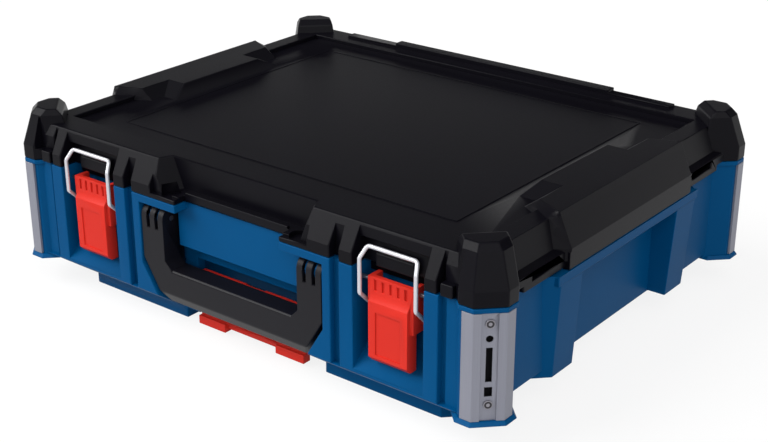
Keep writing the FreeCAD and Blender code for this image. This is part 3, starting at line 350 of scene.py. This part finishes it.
# Stacking lock: a red bar hung behind the handle's grip, moulded in nylon and sprung forward.
# Its feet hook under the trough lip of the case below.
LOCK_EDGE_MM = 0.4

# Nylon takes a bright, even red, with a satin sheen.
red_nylon = moulded_plastic(
    "red_nylon_moulding", "#d93327", "#cd2b21", roughness=0.42, gloss=0.12, grain_mm=1.2, grain_depth_mm=0.04)
dressed("stack_lock", "lock", red_nylon, LOCK_EDGE_MM)


# Latches: a red lever on a pin in each front bay, with a bent wire bail that hooks over the lid's keeper.
# The levers are moulded nylon. The bails are plated spring wire, bent in one plane and sprung into the ears.
LEVER_EDGE_MM = 0.5

# Bright plating mirrors the pale studio, so the wire looks almost white.
bright_wire = drawn_metal(
    "bright_plated_wire", "#d9d9de", "#c9c9d0", roughness=0.3, line_mm=0.8, metallic=0.55)
for hand in ("left", "right"):
    dressed(f"latch_lever_{hand}", f"{hand}_lever", red_nylon, LEVER_EDGE_MM)
    dressed(f"latch_bail_{hand}", f"{hand}_bail", bright_wire, 0)


# Stage: a white painted floor and a round paper backdrop, in even studio light.
# The camera stands where the photographer stood.
FLOOR_HALF = 30.0
FLOOR_GLOW_SHARE = 0.85
BACKDROP_RADIUS = 8.0
BACKDROP_HEIGHT = 1.8

floor_paint, tree = blank_material("white_floor_paint")
pale = add_node(tree, "ShaderNodeBsdfDiffuse", None, {"Color": linear("#ffffff")}).outputs["BSDF"]
grey = add_node(tree, "ShaderNodeBsdfDiffuse", None, {"Color": linear("#b0b0b0")}).outputs["BSDF"]
glow = add_node(tree, "ShaderNodeEmission", None, {"Color": linear("#ffffff")}).outputs["Emission"]
seen = add_node(tree, "ShaderNodeMixShader", None, {
    "Fac": FLOOR_GLOW_SHARE, 1: pale, 2: glow}).outputs["Shader"]
path = add_node(tree, "ShaderNodeLightPath").outputs
mirrored = add_node(tree, "ShaderNodeMath", {"operation": "MAXIMUM"}, {
    0: path["Is Glossy Ray"], 1: path["Is Transmission Ray"]}).outputs["Value"]
looked_at = add_node(tree, "ShaderNodeMath", {"operation": "MAXIMUM"}, {
    0: path["Is Camera Ray"], 1: mirrored}).outputs["Value"]
paint = add_node(tree, "ShaderNodeMixShader", None, {"Fac": looked_at, 1: grey, 2: seen}).outputs["Shader"]
add_node(tree, "ShaderNodeOutputMaterial", None, {"Surface": paint})

backdrop_paper, tree = blank_material("white_backdrop_paper")
paper = add_node(tree, "ShaderNodeEmission", None, {"Color": linear("#ffffff")}).outputs["Emission"]
add_node(tree, "ShaderNodeOutputMaterial", None, {"Surface": paper})


def flat_floor():
    """A flat square: columns run along X and rows run along Y."""
    x, y = np.meshgrid((-FLOOR_HALF, FLOOR_HALF), (-FLOOR_HALF, FLOOR_HALF))
    return sheet_mesh("floor", np.stack([x, y, np.zeros_like(x)], axis=-1))


def round_backdrop():
    """An upright cylinder about the object: columns run round it by angle and rows run up it."""
    turn, up = np.meshgrid(np.linspace(0, 2 * np.pi, 97), np.linspace(0, BACKDROP_HEIGHT, 5))
    return sheet_mesh("backdrop", np.stack(
        [BACKDROP_RADIUS * np.cos(turn), BACKDROP_RADIUS * np.sin(turn), up], axis=-1))


def add_stage(mesh, finish):
    """A piece of the studio, which is no part of the object."""
    mesh.materials.append(finish)
    stage_piece = bpy.data.objects.new(mesh.name, mesh)
    bpy.context.collection.objects.link(stage_piece)
    return stage_piece


add_stage(flat_floor(), floor_paint)
# The backdrop is only to be seen, so it neither lights nor shades the object.
backdrop = add_stage(round_backdrop(), backdrop_paper)
backdrop.visible_diffuse = False
backdrop.visible_shadow = False

world = bpy.data.worlds.new("studio")
world.use_nodes = True
tree = world.node_tree
tree.nodes.clear()
# The ceiling light fades out towards the horizon, and sooner at the back.
CEILING_LEAN = (0.0, -0.2, 1.0)
way = add_node(tree, "ShaderNodeTexCoord").outputs["Generated"]
lift = add_node(tree, "ShaderNodeVectorMath", {"operation": "DOT_PRODUCT"}, {0: way, 1: CEILING_LEAN})
ceiling = add_node(tree, "ShaderNodeMapRange", None, {
    "Value": lift.outputs["Value"], "From Min": 0.38, "From Max": 0.85, "To Min": 0.0, "To Max": 0.6})
sky = add_node(tree, "ShaderNodeBackground", None, {
    "Color": linear("#ffffff"), "Strength": ceiling.outputs["Result"]})
add_node(tree, "ShaderNodeOutputWorld", None, {"Surface": sky.outputs["Background"]})
bpy.context.scene.world = world


def soft_sun(name, direction, strength, spread_deg):
    """A wide even lamp that shines from a direction."""
    lamp = bpy.data.lights.new(name, "SUN")
    lamp.energy = strength
    lamp.angle = math.radians(spread_deg)
    sun = bpy.data.objects.new(name, lamp)
    sun.rotation_euler = Vector(direction).to_track_quat("Z", "Y").to_euler()
    bpy.context.collection.objects.link(sun)


soft_sun("key_softbox", (-0.55, -0.56, 0.62), strength=2.9, spread_deg=46)
soft_sun("right_fill", (0.7, -0.5, 0.5), strength=1.5, spread_deg=60)

CAMERA_AZIMUTH = math.radians(38.13)
CAMERA_ELEVATION = math.radians(23.37)
CAMERA_PLACE = Vector((630.0, -803.7, 485.1)) * MM
camera_data = bpy.data.cameras.new("camera")
camera_data.lens = 67.7
camera_data.sensor_width = 36
camera = bpy.data.objects.new("camera", camera_data)
sight_back = Vector((math.sin(CAMERA_AZIMUTH) * math.cos(CAMERA_ELEVATION),
                     -math.cos(CAMERA_AZIMUTH) * math.cos(CAMERA_ELEVATION), math.sin(CAMERA_ELEVATION)))
camera.rotation_euler = (-sight_back).to_track_quat("-Z", "Y").to_euler()
camera.location = CAMERA_PLACE
bpy.context.collection.objects.link(camera)
bpy.context.scene.camera = camera
bpy.context.scene.view_settings.view_transform = "Standard"
